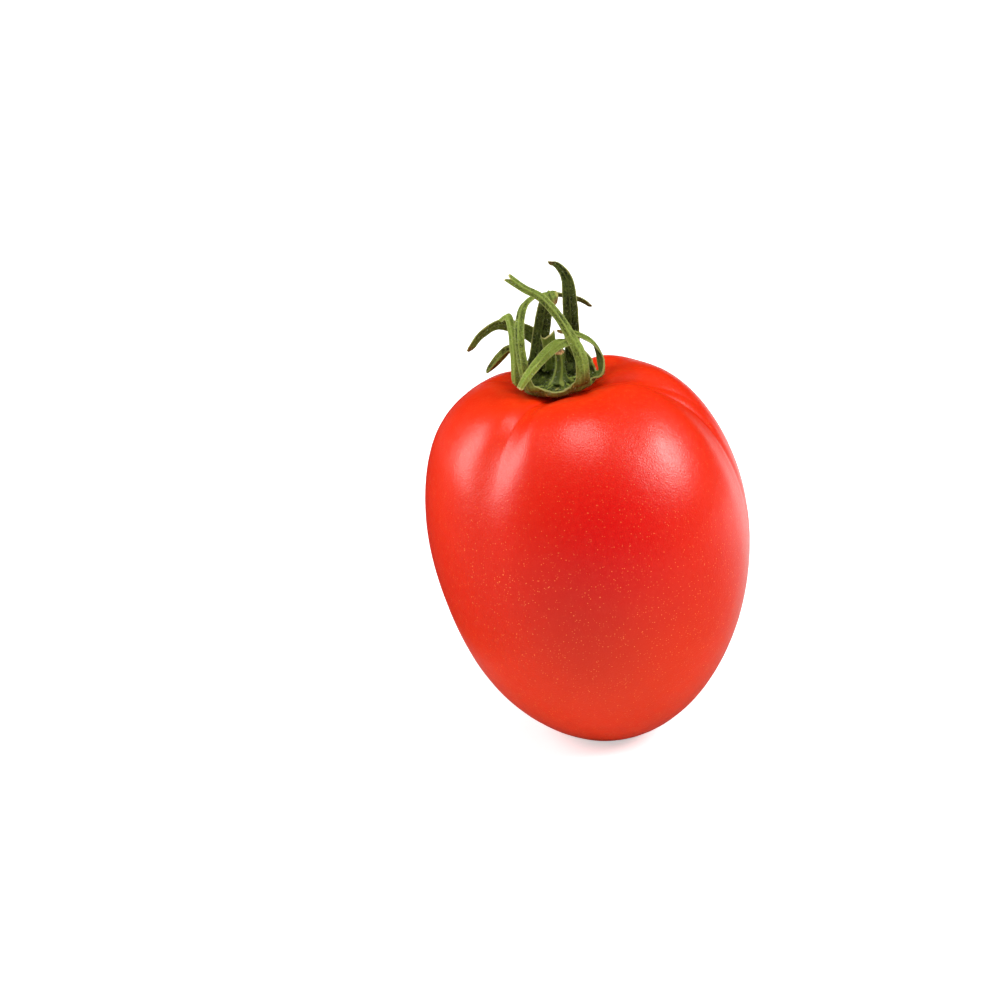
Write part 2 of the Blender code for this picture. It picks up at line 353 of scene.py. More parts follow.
skinSpec = {
    "ripeRed": (0.58, 0.012, 0.0005),
    # painted shade: the deeper red of the core on the side facing the camera
    "coreShadeRed": (0.60, 0.0008, 0.0001),
    "orangeRed": (0.74, 0.028, 0.0008),
    "paleRed": (0.73, 0.034, 0.0020),
    "speck": (0.96, 0.26, 0.07),
    # painted shade along the fine creases
    "crease": (0.40, 0.007, 0.001),
    "scar": (0.42, 0.27, 0.12),
    # how strong each of these is at most
    "orangeShare": 0.7,
    "coreShadeShare": 0.95,
    "paleShare": 0.8,
    "creaseShadeShare": 0.7,
    # noise scales, per metre
    "cloudScale": 48.0,
    "grainScale": 1100.0,
    "waveScale": 190.0,
    "peelScale": 3300.0,
    # the waves are stronger round the stalk: polar reach, how much
    "stalkWaves": (24.0, 1.6),
    # middle and reach of the painted dark core on the side facing the camera, in metres
    "coreShadeAt": (-0.001, -0.027, 0.049),
    "coreShadeReach": 0.0155,
    # polar angles: how far the shoulders are orange, and where the blossom end pales
    "shoulderReach": 44.0,
    "blossomFade": (78.0, 130.0),
    "scarEdge": (1.6, 2.6),
    # spacing and size of the pale dots, both in metres, and the share of places that have one
    "fineDots": (0.00038, 0.000075, 0.6),
    "coarseDots": (0.0011, 0.00011, 0.35),
    "streaks": (0.0008, 0.00007, 0.4),
    "streakTurn": (0.4, 0.7, 0.3),
    "streakStretch": (1.0, 1.0, 3.0),
    # polar angles between which the dots grow stronger, and how strong they are there
    "dotFade": (40.0, 95.0, 0.30, 0.85),
    "roughness": 0.31,
    "flesh": 0.15,
}


def buildSkin(spec):
    material, w, shader, coords = startMaterial(
        "tomatoSkin", Subsurface_Weight=spec["flesh"], Subsurface_Scale=0.0022,
        Subsurface_Radius=(1.0, 0.10, 0.04), IOR=1.42)
    mottle = w.group(mottleGroup, Vector=coords, Grain_Share=0.3,
                     Cloud_Scale=spec["cloudScale"], Grain_Scale=spec["grainScale"])
    polar = w.attribute("polar")
    crease = w.attribute("crease")
    # The shoulders are more orange, the side facing the camera gets a painted dark core of deeper red, and
    # the blossom end is paler.
    shoulder = w.bell(polar, spec["shoulderReach"])
    cloud = w.timesAdd(mottle["Cloud"], 0.20, 0.15)
    colour = w.blend(w.add(w.times(shoulder, spec["orangeShare"]), cloud), spec["ripeRed"], spec["orangeRed"])
    away = w.node("ShaderNodeVectorMath", operation="DISTANCE")
    w.feed(away.inputs[0], coords)
    w.feed(away.inputs[1], spec["coreShadeAt"])
    coreShadeMask = w.times(w.bell(away.outputs["Value"], spec["coreShadeReach"]), spec["coreShadeShare"])
    colour = w.blend(coreShadeMask, colour, spec["coreShadeRed"])
    blossom = w.times(w.ramp(polar, *spec["blossomFade"]), spec["paleShare"])
    colour = w.blend(blossom, colour, spec["paleRed"])
    colour = w.blend(w.timesAdd(mottle["Grain"], 0.10, 0.02), colour, spec["paleRed"])
    # Pale dots and short streaks, fewer towards the stalk end
    slanted = w.node("ShaderNodeMapping", vector_type="TEXTURE")
    w.fill(slanted, Vector=coords, Rotation=spec["streakTurn"], Scale=spec["streakStretch"])
    dots = 0.0
    for label, vector in (("fineDots", coords), ("coarseDots", coords), ("streaks", slanted.outputs[0])):
        spacing, size, share = spec[label]
        specks = w.group(speckGroup, Vector=vector, Spacing=spacing, Size=size, Share=share)
        dots = w.calc("MAXIMUM", dots, specks["Mask"])
    dots = w.times(dots, w.ramp(polar, *spec["dotFade"]))
    colour = w.blend(dots, colour, spec["speck"])
    # Painted shade: the skin is darker where the fine creases are deep
    colour = w.blend(w.times(crease, spec["creaseShadeShare"]), colour, spec["crease"])
    # Corky scar at the blossom end
    fromEnd = w.timesAdd(mottle["Grain"], 0.35, w.less(180.0, polar))
    scar = w.ramp(fromEnd, *spec["scarEdge"], 1.0, 0.0)
    rough = w.timesAdd(mottle["Grain"], 0.03, spec["roughness"])
    rough = w.add(rough, w.times(scar, 0.35))
    w.fill(shader, Base_Color=w.blend(scar, colour, spec["scar"]), Roughness=rough)
    # Slow waves, strongest round the stalk, and a fine orange peel
    waves = w.noise(coords, spec["waveScale"], 2.0)
    peel = w.noise(coords, spec["peelScale"], 2.0)
    reach, more = spec["stalkWaves"]
    swollen = w.times(waves["Fac"], w.timesAdd(w.bell(polar, reach), more, 1.0))
    w.bump(shader, (swollen, 0.0004, 0.2), (peel["Fac"], 0.00005, 0.8), (dots, 0.00003, 0.4))
    return material


# Fruit: a lobed ovoid made by a node tree

fruitSpec = {
    # inputs of the fruit's node tree, in mm and degrees
    "sizes": {
        "Segments": 400,
        "Rings": 196,
        "Equator Radius": 28.9,
        "Half Height": 36.6,
        "Shoulder Gain": 0.10,
        "Cavity Depth": 5.7,
        "Cavity Polar": 20.0,
        "Unevenness": 0.16,
    },
    "lean": 9.4,
    "centre": (-2.75, 0.0, 34.9),
    "reliefStart": 14.0,
    "sweepPolar": 30.0,
    # azimuth at the cavity, sweep, depth, half width, polar angle where it fades
    "furrows": (
        (-113, -15, 1.6, 10, 62),
        (-100, -3, 0.35, 8, 34),
        (-60, 0, 0.3, 12, 62),
        (-16, 5, 1.9, 10, 66),
        (32, 0, 0.3, 14, 62),
        (75, 0, 1.3, 12, 62),
        (118, 0, 1.2, 12, 62),
        (165, 0, 0.25, 14, 62),
    ),
    # fine sharp creases, the same five values
    "creases": (
        (-122, -4, 0.40, 1.7, 29),
        (-46, 40, 0.50, 1.6, 62),
        (-38, 38, 0.16, 1.2, 50),
        (75, 0, 0.22, 2.0, 44),
        (118, 3, 0.22, 2.0, 44),
        (160, 0, 0.12, 2.0, 36),
    ),
    # azimuth, polar angle, height, half widths of both
    "swells": (
        (180, 42, 1.9, 45, 20),
        (180, 97, -0.9, 45, 22),
        (0, 40, 0.6, 35, 16),
    ),
    # azimuth, polar angle, height and half width of small warts in the skin
    "warts": (
        (-98, 22.5, 0.20, 2.3),
        (-50, 17.0, 0.26, 1.8),
        (-112, 24.0, 0.10, 1.6),
        (150, 24.0, 0.14, 2.0),
    ),
    "unevenScale": 0.11,
    # pit for the stalk's foot; its wall runs this far inside and outside the radius
    "pitRadius": 1.75,
    "pitDepth": 1.8,
    "pitWall": (0.3, 0.1),
    "stalkSide": -0.6,
    "groundBlend": 0.35,
}

# Place of the fruit and of its stalk end
place = Matrix.Translation(Vector(fruitSpec["centre"]) * mm) @ Matrix.Rotation(
    -math.radians(fruitSpec["lean"]), 4, "Y")
footHeight = fruitSpec["sizes"]["Half Height"] - fruitSpec["sizes"]["Cavity Depth"]
stalkPlace = place @ Matrix.Translation(Vector((fruitSpec["stalkSide"], 0.0, footHeight)) * mm)


def buildFurrowGroup():
    names = ("Azimuth", "Polar", "Start", "Sweep", "Depth", "Half Width", "End", "Sweep Polar")
    w, inside, outside = newGroup(
        "furrow", "GeometryNodeTree", {name: 1.0 for name in names}, {"Depth": "Float"})
    swept = w.less(1.0, w.bell(inside["Polar"], inside["Sweep Polar"]))
    turn = w.turn(inside["Azimuth"], w.timesAdd(inside["Sweep"], swept, inside["Start"]))
    share = w.times(w.bell(inside["Polar"], inside["End"]), w.bell(turn, inside["Half Width"]))
    w.feed(outside["Depth"], w.times(share, inside["Depth"]))
    return w.tree


def buildFruitTree(spec):
    w, inside, outside = newGroup(
        "fruitShape", "GeometryNodeTree", {**spec["sizes"], "Skin": "Material"}, {"Geometry": "Geometry"})
    ball = w.node("GeometryNodeMeshUVSphere")
    w.fill(ball, Segments=inside["Segments"], Rings=inside["Rings"])
    x, y, z = w.split(w.node("GeometryNodeInputPosition").outputs[0])
    across = w.calc("SQRT", w.timesAdd(x, x, w.times(y, y)))
    angle = w.calc("ARCTAN2", across, z)
    polar = w.calc("DEGREES", angle)
    turn = w.calc("ARCTAN2", y, x)
    azimuth = w.calc("DEGREES", turn)
    sine = w.calc("SINE", angle)
    cosine = w.calc("COSINE", angle)
    turnSine = w.calc("SINE", turn)
    turnCosine = w.calc("COSINE", turn)

    # Plain ovoid and the direction that stands square on it
    gain = w.timesAdd(cosine, inside["Shoulder Gain"], 1.0)
    radius = w.times(w.times(inside["Equator Radius"], sine), gain)
    height = w.times(inside["Half Height"], cosine)
    outR = w.times(inside["Half Height"], sine)
    twice = w.calc("COSINE", w.times(angle, 2.0))
    outH = w.times(inside["Equator Radius"], w.timesAdd(twice, inside["Shoulder Gain"], cosine))
    size = w.calc("SQRT", w.timesAdd(outR, outR, w.times(outH, outH)))
    outR = w.over(outR, size)
    outH = w.over(outH, size)

    # Furrows, creases, swells and warts
    furrowGroup = buildFurrowGroup()
    depths = {}
    for kind in ("furrows", "creases"):
        depths[kind] = 0.0
        for start, sweep, depth, width, fade in spec[kind]:
            furrow = w.group(
                furrowGroup, "GeometryNodeGroup", Azimuth=azimuth, Polar=polar, Start=start, Sweep=sweep,
                Depth=depth, Half_Width=width, End=fade, Sweep_Polar=spec["sweepPolar"])
            depths[kind] = w.add(depths[kind], furrow["Depth"])
    crease = depths["creases"]
    relief = w.less(w.times(depths["furrows"], -1.0), crease)
    lumps = list(spec["swells"])
    for side, level, rise, width in spec["warts"]:
        lumps.append((side, level, rise, width / math.sin(math.radians(level)), width))
    for side, level, rise, width, length in lumps:
        lump = w.times(w.bell(w.turn(azimuth, side), width), w.bell(w.less(polar, level), length))
        relief = w.timesAdd(lump, rise, relief)
    spot = w.join(X=w.times(radius, turnCosine), Y=w.times(radius, turnSine), Z=height)
    uneven = w.noise(spot, spec["unevenScale"], 2.0)
    relief = w.add(relief, w.times(w.times(uneven["Fac"], -1.0), inside["Unevenness"]))
    relief = w.times(relief, w.less(1.0, w.bell(polar, spec["reliefStart"])))
    share = w.over(polar, inside["Cavity Polar"])
    cavity = w.calc("EXPONENT", w.times(w.calc("POWER", share, 3.0), -1.0))
    relief = w.less(relief, w.times(cavity, inside["Cavity Depth"]))

    # Pit for the foot of the stalk
    radius = w.timesAdd(outR, relief, radius)
    height = w.timesAdd(outH, relief, height)
    flatX = w.times(radius, turnCosine)
    flatY = w.times(radius, turnSine)
    offX = w.less(flatX, spec["stalkSide"])
    apart = w.calc("SQRT", w.timesAdd(offX, offX, w.times(flatY, flatY)))
    wallIn, wallOut = spec["pitWall"]
    pit = w.ramp(apart, spec["pitRadius"] - wallIn, spec["pitRadius"] + wallOut, 1.0, 0.0)
    pit = w.times(pit, w.calc("LESS_THAN", polar, 90.0))
    height = w.timesAdd(pit, -spec["pitDepth"], height)

    # Lean, place and flat spot
    lean = math.radians(spec["lean"])
    cx, cy, cz = spec["centre"]
    worldX = w.add(w.times(flatX, math.cos(lean)), w.timesAdd(height, -math.sin(lean), cx))
    worldZ = w.add(w.times(flatX, math.sin(lean)), w.timesAdd(height, math.cos(lean), cz))
    worldZ = w.calc("SMOOTH_MAX", worldZ, 0.0, spec["groundBlend"])
    placed = w.join(X=w.times(worldX, mm), Y=w.times(flatY, mm), Z=w.times(worldZ, mm))
    # What the skin's material reads is stored before the points move.
    flow = ball.outputs["Mesh"]
    for label, value in (("polar", polar), ("crease", crease)):
        keep = w.node("GeometryNodeStoreNamedAttribute", data_type="FLOAT", domain="POINT")
        flow = w.fill(keep, Geometry=flow, Name=label, Value=value).outputs["Geometry"]
    flow = w.fill(w.node("GeometryNodeSetPosition"), Geometry=flow, Position=placed).outputs[0]
    flow = w.fill(w.node("GeometryNodeSetShadeSmooth"), Geometry=flow).outputs[0]
    w.feed(outside["Geometry"], w.coat(flow, inside["Skin"]))
    return w.tree


fruitInputs = {**fruitSpec["sizes"], "Skin": buildSkin(skinSpec)}
fruit = bakeNodes("fruit_skin", buildFruitTree(fruitSpec), fruitInputs)
print("fruit:", len(fruit.data.polygons), "faces")


# Calyx: a cup with ten curled sepals, one sheet with two faces

calyxSpec = {
    "cupProfile": ((1.8, 0.85), (3.4, 0.85), (4.9, 1.25), (5.9, 1.60), (6.6, 2.55)),
    "thick": 0.70,
    "thin": 0.24,
    "columns": 14,
    "profileStep": 0.3,
    "rowStep": 0.34,
    "gapStep": 2.5,
    # the rim sags between the sepals: depth, degrees past a sepal, mm below the rim
    "rimSag": (0.48, 15.0, 1.6),
    # lumps inside the cup: height, two scales
    "lumps": (0.30, 1.15, 2.9),
    # ribs from the stalk to each sepal: height, half width, share lost at the rim
    "cupRib": (0.45, 0.42, 0.6),
    # the outer face bulges below the rim: height, mm below the rim, half width
    "cupBulge": (0.25, 0.9, 0.8),
    # how far in from an edge the cup and a blade reach their full thickness
    "cupMargin": 0.7,
    "bladeMargin": 0.8,
    "tipThinning": 0.35,
    # height and half width
    "midrib": (0.13, 0.16),
    # depth, distance from the midrib, half width
    "groove": (0.07, 0.34, 0.14),
    # ruffled edges: height, scale along the blade
    "waver": (0.10, 0.55),
    # uneven width: share, scale along the blade
    "uneven": (0.05, 0.8),
    # blades behind the stalk flare near the rim: share, mm from the rim, half width, from and to azimuth
    "flare": (0.40, 1.0, 1.8, 20, 180),
    # mm over which the base's brown fades, in the cup and on the blade
    "baseFade": (3.0, 5.5),
    # mm from the rim over which ribs and ruffles grow, mm before the end that a tip's shape takes up
    "grownBy": 2.5,
    "tipShaped": 1.5,
    # pale strip along a torn or blunt end: full to, fades over
    "paleEnd": (0.05, 0.22),
    # base azimuth, half width, rise of the edges, tone (0 light, 1 dark), brown at the base and at the tip,
    # length of the brown tip, shape of the tip, then x, y, z, width and twist in degrees along the blade
    "sepals": {
        "front_right": (-55, 19, 0.12, 0.16, 0.75, 0.15, 1.0, "notched", (
            (4.3, -6.0, 3.7, 2.7, -10), (4.5, -5.5, 7.4, 2.2, -25), (3.3, -4.5, 11.1, 1.8, -30),
            (1.6, -3.5, 14.9, 1.6, -30), (-0.7, -2.7, 18.2, 1.5, -30), (-3.5, -2.2, 20.3, 1.4, -25),
            (-6.0, -2.0, 22.7, 1.6, -20))),
        "right_loop": (-20, 14, 0.12, 0.16, 0.1, 0.9, 1.6, "round", (
            (7.5, -2.5, 2.9, 2.1, 15), (7.8, -1.8, 4.9, 2.1, 35), (7.3, -0.8, 6.8, 2.0, 10),
            (6.0, 0.3, 8.5, 1.9, -25), (3.6, 1.2, 9.8, 1.6, -40), (0.9, 1.8, 10.2, 1.1, -40))),
        "folded_forward": (28, 12, 0.12, -0.12, 0.1, 0.5, 1.2, "blunt", (
            (5.0, 3.2, 3.7, 2.6, 25), (3.6, 3.0, 6.1, 2.5, 40), (2.5, 1.6, 8.0, 2.2, 0),
            (0.6, -0.7, 8.6, 2.0, -30), (-1.6, -3.2, 8.0, 1.9, -40), (-3.6, -5.9, 7.1, 1.7, -40),
            (-5.5, -8.0, 5.8, 1.4, -35), (-6.8, -9.1, 4.5, 1.1, -35))),
        "back_right": (58, 12, 0.12, 0.46, 0.1, 0.7, 2.4, "round", (
            (3.1, 5.9, 5.0, 2.6, 15), (3.5, 4.9, 10.1, 2.7, 25), (4.0, 4.0, 15.6, 2.5, 25),
            (4.0, 3.9, 19.1, 1.9, 25), (2.8, 3.5, 21.6, 1.2, 30), (1.3, 3.0, 22.6, 0.8, 30))),
        "left_arch": (84, 10, 0.12, 0.10, 0.1, 0.9, 2.6, "round", (
            (-0.2, 7.0, 4.3, 2.6, 0), (-2.2, 7.3, 7.0, 2.8, 0), (-5.3, 5.9, 10.2, 2.6, 0),
            (-8.9, 3.4, 12.6, 2.1, 0), (-12.2, 2.0, 11.8, 1.8, 0), (-14.2, 1.2, 10.1, 1.5, 0),
            (-15.1, 1.0, 9.3, 1.3, 0))),
        "torn": (107, 8, 0.05, -0.10, 0.1, 0.0, 0.6, "torn", (
            (-1.2, 3.9, 2.8, 2.2, 0), (-0.9, 2.9, 5.6, 2.4, 0), (-0.8, 2.4, 10.0, 2.6, 0))),
        "back_left": (133, 12, 0.10, 0.40, 0.1, 0.9, 2.2, "round", (
            (-3.6, 4.4, 3.9, 3.0, -30), (-2.5, 4.5, 7.8, 3.0, -45), (-1.1, 4.1, 12.4, 2.9, -45),
            (0.2, 2.8, 16.5, 2.5, -30), (0.9, 1.3, 17.4, 2.3, -10), (1.4, -0.1, 15.6, 1.8, 0))),
        "left_fall": (160, 9, 0.12, 0.42, 0.1, 0.1, 0.8, "round", (
            (-6.3, 3.0, 4.3, 1.8, 0), (-6.3, 4.8, 7.0, 1.8, 0), (-8.2, 6.2, 6.9, 1.8, 15),
            (-10.5, 7.2, 4.9, 1.7, 25), (-12.9, 8.5, 2.4, 1.0, 25))),
        "left_hook": (194, 12, 0.12, -0.15, 0.3, 0.2, 1.0, "round", (
            (-7.3, -3.0, 3.8, 1.8, 20), (-6.9, -2.8, 8.6, 1.5, 40), (-6.7, -1.6, 13.1, 1.4, 40),
            (-7.1, 0.3, 14.8, 1.4, 30), (-8.6, 1.8, 13.8, 1.1, 20))),
        "front_left": (229, 19, 0.12, 0.26, 0.5, 0.5, 2.5, "round", (
            (-5.3, -5.3, 3.5, 2.3, 20), (-5.7, -4.7, 7.4, 1.9, 40), (-5.5, -4.1, 12.1, 1.8, 40),
            (-4.9, -1.8, 14.8, 1.7, 40), (-3.8, 2.3, 16.0, 1.6, 40), (-1.8, 5.7, 15.8, 1.5, 30),
            (1.4, 7.3, 15.3, 1.4, 15), (5.4, 8.0, 13.5, 1.2, 0), (7.5, 8.6, 11.5, 0.8, 0))),
    },
    # how far each tip reaches past its last row: position across from -1 to 1, reach in mm
    "tips": {
        "round": ((-1.0, -1.1), (-0.6, -0.35), (0.0, 0.0), (0.6, -0.35), (1.0, -1.1)),
        "blunt": ((-1.0, -0.5), (-0.6, -0.1), (-0.2, 0.0), (0.3, -0.15), (0.7, -0.05), (1.0, -0.45)),
        "notched": ((-1.0, 0.0), (-0.6, 0.1), (0.0, -0.75), (0.5, -0.05), (1.0, -0.2)),
        "torn": ((-1.0, 0.5), (-0.75, -0.1), (-0.4, -0.45), (0.0, -0.75), (0.5, -0.9), (0.85, -0.6),
                 (1.0, -0.1)),
    },
}


def turnBetween(azimuth, other):
    return (azimuth - other + 180.0) % 360.0 - 180.0


def smoothPath(points, step):
    # Catmull-Rom curve through the points, read about every step.
    ends = [2.0 * points[0] - points[1], *points, 2.0 * points[-1] - points[-2]]
    path = []
    for before, start, end, after in zip(ends, ends[1:], ends[2:], ends[3:]):
        gap = end - start
        count = max(1, round(math.sqrt(sum(gap[i] ** 2 for i in range(min(3, len(gap))))) / step))
        for index in range(count):
            t = index / count
            path.append(0.5 * (
                2.0 * start + (end - before) * t
                + (2.0 * before - 5.0 * start + 4.0 * end - after) * t ** 2
                + (3.0 * start - before - 3.0 * end + after) * t ** 3))
    path.append(points[-1])
    return path


def between(pairs, value):
    # Straight lines between (position, height) pairs.
    for (x0, y0), (x1, y1) in zip(pairs, pairs[1:]):
        if value <= x1:
            return y0 + (y1 - y0) * (value - x0) / (x1 - x0)
    return pairs[-1][1]


def easeIn(value):
    value = max(0.0, min(1.0, value))
    return value * value * (3.0 - 2.0 * value)


def hump(value, width):
    return math.exp(-(value / width) ** 2)


def neighbours(ring):
    # Pairs round a closed ring
    return zip(ring, (*ring[1:], ring[0]))


def lengthsAlong(points):
    lengths = [0.0]
    for before, after in zip(points, points[1:]):
        lengths.append(lengths[-1] + (after - before).length)
    return lengths


def rimAzimuths(spec):
    marks = []
    columns = spec["columns"]
    for sepal in spec["sepals"].values():
        base, spread = sepal[:2]
        marks.append([base + spread * (2.0 * k / columns - 1.0) for k in range(columns + 1)])
    marks.sort(key=lambda row: row[0])
    marks.append([azimuth + 360.0 for azimuth in marks[0]])
    azimuths = []
    for row, following in zip(marks, marks[1:]):
        gap = following[0] - row[-1]
        count = max(1, round(gap / spec["gapStep"]))
        azimuths += row
        azimuths += [row[-1] + gap * k / count for k in range(1, count)]
    return azimuths


class Sheet:
    # Points of a thin sheet with what the material and the hairs read from each of them.
    fields = ("acrossMm", "alongMm", "edgeMm", "brown", "tone", "pale")

    def __init__(self):
        self.mesh = bmesh.new()
        self.rows = []

    def add(self, point, outer, inner, **values):
        self.mesh.verts.new(point)
        self.rows.append((outer, inner, values))
        return len(self.rows) - 1

    def finish(self, name, faces, place, material):
        # Two faces along the sheet's normals, joined round every free edge.
        sheet = self.mesh
        sheet.verts.ensure_lookup_table()
        sheet.verts.index_update()
        for corners in faces:
            sheet.faces.new([sheet.verts[index] for index in corners])
        sheet.normal_update()
        points = []
        values = []
        for side in (0, 1):
            for vert, (outer, inner, row) in zip(sheet.verts, self.rows):
                points.append(vert.co + vert.normal * (inner if side else -outer))
                values.append({**row, "inner": float(side)})
        count = len(self.rows)
        made = []
        for corners in faces:
            made.append(tuple(reversed(corners)))
            made.append(tuple(index + count for index in corners))
        for edge in sheet.edges:
            if len(edge.link_faces) == 1:
                loop = edge.link_loops[0]
                a, b = loop.vert.index, loop.link_loop_next.vert.index
                made.append((a, b, b + count, a + count))
        sheet.free()
        mesh = bpy.data.meshes.new(name)
        mesh.from_pydata([place @ (point * mm) for point in points], [], made)
        mesh.shade_smooth()
        mesh.set_sharp_from_angle(angle=math.radians(50.0))
        mesh.materials.append(material)
        for field in (*self.fields, "inner"):
            layer = mesh.attributes.new(field, "FLOAT", "POINT")
            layer.data.foreach_set("value", [row[field] for row in values])
        return addObject(name, mesh)


def cupPoint(azimuth, radius, height):
    angle = math.radians(azimuth)
    return Vector((radius * math.cos(angle), radius * math.sin(angle), height))


def buildCup(spec, sheet, faces, azimuths, sepals):
    # From the hole round the stalk to the rim; the last ring carries the sepals.
    profile = smoothPath([Vector(point) for point in spec["cupProfile"]], spec["profileStep"])
    lengths = lengthsAlong(profile)
    total = lengths[-1]
    sagDepth, sagTurn, sagReach = spec["rimSag"]
    lumpHeight, lumpScale, fineScale = spec["lumps"]
    ribHeight, ribWidth, ribLoss = spec["cupRib"]
    bulgeHeight, bulgeAt, bulgeWidth = spec["cupBulge"]
    thin = 0.5 * spec["thin"]
    thick = 0.5 * spec["thick"]
    rings = []
    for reach, (radius, height) in zip(lengths, profile):
        ring = []
        toRim = total - reach
        for azimuth in azimuths:
            nearest = min(sepals, key=lambda row: abs(turnBetween(azimuth, row[0])))
            base, spread, _, tone, baseBrown = nearest[:5]
            turn = turnBetween(azimuth, base)
            across = math.radians(turn) * radius
            pastBase = max(0.0, abs(turn) - spread)
            edge = math.hypot(toRim, math.radians(max(0.0, spread - abs(turn))) * radius)
            sag = sagDepth * easeIn(pastBase / sagTurn) * easeIn(1.0 - toRim / sagReach)
            spot = cupPoint(azimuth, radius, height - sag)
            lumps = lumpHeight * (noise.noise(spot * lumpScale) + 0.5 * noise.noise(spot * fineScale))
            rib = ribHeight * hump(across, ribWidth) * (1.0 - ribLoss * reach / total)
            margin = easeIn(edge / spec["cupMargin"]) if pastBase > 0 or toRim < 0.3 else 1.0
            half = thin + (thick - thin) * margin
            bulge = bulgeHeight * hump(toRim - bulgeAt, bulgeWidth)
            # Painted shade and light: darker in the hollows between the lumps, lighter on the lumps. The ribs
            # are lighter too.
            shade = tone * 0.4 + 0.30 - 1.3 * lumps - 0.8 * rib
            ring.append(sheet.add(
                spot, half + bulge, half + (rib + lumps) * margin,
                acrossMm=across, alongMm=-toRim, edgeMm=edge, tone=max(0.0, shade), pale=0.0,
                brown=baseBrown * easeIn(1.0 - toRim / spec["baseFade"][0])))
        rings.append(ring)
    for inner, outer in zip(rings, rings[1:]):
        for (a, b), (c, d) in zip(neighbours(inner), neighbours(outer)):
            faces.append((a, c, d, b))
    return rings[-1]


def buildSepal(spec, sheet, faces, rim, azimuths, order, sepal):
    # Row by row from the rim
    base, spread, rise, tone, baseBrown, tipBrown, tipLength, tip, points = sepal
    columns = spec["columns"]
    count = len(azimuths)
    first = min(range(count), key=lambda k: abs(turnBetween(azimuths[k], base - spread)))
    row = [rim[(first + column) % count] for column in range(columns + 1)]
    rimRadius, rimHeight = spec["cupProfile"][-1]
    start = cupPoint(base, rimRadius, rimHeight)
    rimWidth = 2.0 * rimRadius * math.sin(math.radians(spread))
    controls = [Vector((*start, rimWidth, 0.0)), *(Vector(point) for point in points)]
    stations = smoothPath(controls, spec["rowStep"])
    middles = [Vector(station[:3]) for station in stations]
    lengths = lengthsAlong(middles)
    ribHeight, ribWidth = spec["midrib"]
    grooveDepth, grooveAt, grooveWidth = spec["groove"]
    waver, waverScale = spec["waver"]
    uneven, unevenScale = spec["uneven"]
    paleTo, paleFade = spec["paleEnd"]
    flare, flareAt, flareWidth, flareFrom, flareTo = spec["flare"]
    if not flareFrom < base < flareTo:
        flare = 0.0
    angle = math.radians(base)
    side = Vector((-math.sin(angle), math.cos(angle), 0.0))
    last = len(stations) - 1
    for index in range(1, last + 1):
        blade, twist = stations[index][3:]
        along = (middles[min(index + 1, last)] - middles[index - 1]).normalized()
        side = (side - along * side.dot(along)).normalized()
        turned = Matrix.Rotation(math.radians(twist), 3, along) @ side
        inward = along.cross(turned)
        reach = lengths[index]
        left = lengths[last] - reach
        grown = easeIn(reach / spec["grownBy"])
        flared = blade * (1.0 + flare * hump(reach - flareAt, flareWidth))
        brown = max(baseBrown * easeIn(1.0 - reach / spec["baseFade"][1]),
                    tipBrown * easeIn(1.0 - left / tipLength))
        pale = 0.0 if tip == "round" else easeIn(1.0 - (left - paleTo) / paleFade)
        following = []
        for column in range(columns + 1):
            u = 2.0 * column / columns - 1.0
            ruffle = noise.noise(Vector((reach * waverScale, 3.0 * u, 11.0 * order)))
            frayed = noise.noise(Vector((reach * unevenScale, math.copysign(4.0, u), 7.0 * order)))
            width = flared * (1.0 + uneven * grown * frayed)
            bend = rise * blade * (u * u - 0.5) + waver * ruffle * grown * abs(u) ** 1.5
            point = middles[index] + turned * (0.5 * width * u) + inward * bend
            if left < spec["tipShaped"]:
                pull = between(spec["tips"][tip], u) * min(1.0, blade / 1.6)
                point += along * pull * easeIn(1.0 - left / spec["tipShaped"])
            edge = (1.0 - abs(u)) * 0.5 * blade
            grownThick = easeIn(edge / spec["bladeMargin"])
            half = 0.5 * (spec["thin"] + (spec["thick"] - spec["thin"]) * grownThick)
            half *= 1.0 - spec["tipThinning"] * easeIn(reach / lengths[last])
            across = u * 0.5 * blade
            rib = ribHeight * hump(across, ribWidth)
            grooves = grooveDepth * hump(abs(across) - grooveAt, grooveWidth)
            following.append(sheet.add(
                point, half + (rib - grooves) * grown, half - 0.5 * rib * grown,
                acrossMm=across, alongMm=reach, edgeMm=min(edge, left + 0.05),
                brown=brown, tone=tone * (0.6 + 0.4 * grown), pale=pale))
        for a, b, c, d in zip(row, following, following[1:], row[1:]):
            faces.append((a, b, c, d))
        row = following


def buildCalyx(spec, place, material):
    sheet = Sheet()
    faces = []
    azimuths = rimAzimuths(spec)
    sepals = list(spec["sepals"].values())
    rim = buildCup(spec, sheet, faces, azimuths, sepals)
    for order, sepal in enumerate(sepals):
        buildSepal(spec, sheet, faces, rim, azimuths, order, sepal)
    return sheet.finish("calyx_sepals", faces, place, material)


leafSpec = {
    "light": (0.176, 0.240, 0.034),
    "dark": (0.022, 0.034, 0.001),
    "innerShade": 0.50,
    "vein": (0.31, 0.37, 0.075),
    "margin": (0.36, 0.37, 0.12),
    "olive": (0.10, 0.055, 0.004),
    "dryBrown": (0.17, 0.060, 0.022),
    "paleDry": (0.56, 0.50, 0.20),
    "scar": (0.38, 0.33, 0.09),
    "roughness": 0.58,
    # how strong each of these is at most
    "bandShade": 0.36,
    "mottleShade": 0.50,
    "stainShare": 0.85,
    "scarShare": 0.8,
    "marginShare": 0.62,
    "paleShare": 0.9,
    # side veins: slant, strength of the coarse and of the fine net
    "slant": -1.1,
    "nets": (0.40, 0.18),
    # in mm across the blade: midrib, the dark bands beside it, and the pale line at the edge
    "midribWidth": 0.12,
    "bandAt": 0.34,
    "bandWidth": 0.20,
    "marginEdge": (0.02, 0.17),
    # mm along the blade where olive brown turns to dry brown
    "oliveToDry": (6.0, 9.0),
    "scarStretch": 0.42,
}


